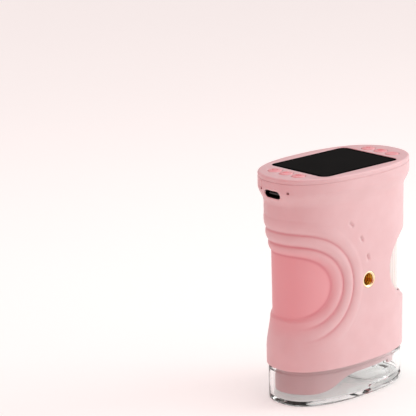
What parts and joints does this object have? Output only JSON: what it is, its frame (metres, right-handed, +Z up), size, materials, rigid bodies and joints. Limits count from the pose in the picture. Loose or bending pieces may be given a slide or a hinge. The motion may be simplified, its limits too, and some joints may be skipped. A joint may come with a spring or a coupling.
{
  "type": "handheld digital microscope",
  "caption": "Handheld digital microscope for children: oval body with a colour screen and buttons on top, a side focus wheel, a lit lens and a clear foot that stands on the specimen.",
  "frame": {"origin": "middle of the clear foot's underside, on the surface it stands on", "axes": "+X towards the focus wheel end, +Y towards the rear broad face, +Z up towards the screen"},
  "size_m": [0.075, 0.0442, 0.1009],
  "materials": {
    "pink_abs": "moulded ABS, fine satin texture",
    "rose_button": "moulded ABS button, satin",
    "white_abs": "moulded white ABS, satin",
    "clear_acrylic": "clear moulded polycarbonate",
    "window_glass": "black-bordered hard-coated window",
    "lcd_glass": "display module glass",
    "brass": "turned brass, machined",
    "steel": "zinc plated steel",
    "usb_steel": "drawn stainless steel shell",
    "black_plastic": "black moulded plastic",
    "grey_abs": "dark grey ABS",
    "green_board": "green solder mask on glass-epoxy",
    "chip_black": "moulded chip package",
    "lens_glass": "coated optical glass",
    "led_white": "LED phosphor and white case",
    "frosted": "frosted polycarbonate",
    "foil": "aluminium laminate pouch",
    "foam": "closed-cell foam",
    "lead_red": "silicone insulation",
    "kapton": "polyimide flex"
  },
  "bodies": {
    "housing": {"body_shell": "pink_abs", "top_bezel": "pink_abs", "screen_window": "window_glass", "lcd_module": "lcd_glass", "tact_switches": "black_plastic", "main_board": "green_board", "board_chips": "chip_black", "board_screws": "steel", "usb_socket": "usb_steel", "usb_tongue": "black_plastic", "charge_led": "led_white", "reset_switch": "black_plastic", "microphone": "steel", "battery_foam": "foam", "battery": "foil", "battery_leads": "lead_red", "tripod_insert_front": "brass", "tripod_insert_rear": "brass", "optics_column": "grey_abs", "wheel_retainer": "grey_abs", "sensor_holder": "black_plastic", "sensor_board": "green_board", "image_sensor": "chip_black", "sensor_screws": "steel", "sensor_ribbon": "kapton", "led_board": "green_board", "leds": "led_white", "led_diffuser": "frosted", "led_leads": "lead_red", "lens_shroud": "pink_abs", "shroud_screws": "steel", "clear_base": "clear_acrylic"},
    "focus_wheel": {"focus_wheel": "white_abs"},
    "lens_carriage": {"lens_carriage": "black_plastic", "guide_pin": "steel", "front_lens": "lens_glass", "rear_lens": "lens_glass", "lens_ring": "black_plastic"},
    "button_power": {"button_power": "rose_button"},
    "button_menu": {"button_menu": "rose_button"},
    "button_light": {"button_light": "rose_button"},
    "button_zoom_in": {"button_zoom_in": "rose_button"},
    "button_capture": {"button_capture": "rose_button"},
    "button_zoom_out": {"button_zoom_out": "rose_button"}
  },
  "joints": [
    {"name": "focus_wheel_turn", "type": "hinge", "parent": "housing", "child": "focus_wheel", "pos_m": [0.0186, 0, 0.0532], "axis": [0, 0, 1], "range_deg": [0, 300]},
    {"name": "lens_carriage_slide", "type": "slide", "parent": "housing", "child": "lens_carriage", "axis": [0, 0, 1], "range_m": [0, 0.006]},
    {"name": "button_power_press", "type": "slide", "parent": "housing", "child": "button_power", "axis": [0, 0, -1], "range_m": [0, 0.00045], "stiffness_N_per_m": 300, "springref_m": -0.0003},
    {"name": "button_menu_press", "type": "slide", "parent": "housing", "child": "button_menu", "axis": [0, 0, -1], "range_m": [0, 0.00045], "stiffness_N_per_m": 300, "springref_m": -0.0003},
    {"name": "button_light_press", "type": "slide", "parent": "housing", "child": "button_light", "axis": [0, 0, -1], "range_m": [0, 0.00045], "stiffness_N_per_m": 300, "springref_m": -0.0003},
    {"name": "button_zoom_in_press", "type": "slide", "parent": "housing", "child": "button_zoom_in", "axis": [0, 0, -1], "range_m": [0, 0.00045], "stiffness_N_per_m": 300, "springref_m": -0.0003},
    {"name": "button_capture_press", "type": "slide", "parent": "housing", "child": "button_capture", "axis": [0, 0, -1], "range_m": [0, 0.00045], "stiffness_N_per_m": 300, "springref_m": -0.0003},
    {"name": "button_zoom_out_press", "type": "slide", "parent": "housing", "child": "button_zoom_out", "axis": [0, 0, -1], "range_m": [0, 0.00045], "stiffness_N_per_m": 300, "springref_m": -0.0003}
  ],
  "couplings": [
    {"joint": "lens_carriage_slide", "follows": "focus_wheel_turn", "m_per_rad": 0.0011459}
  ]
}
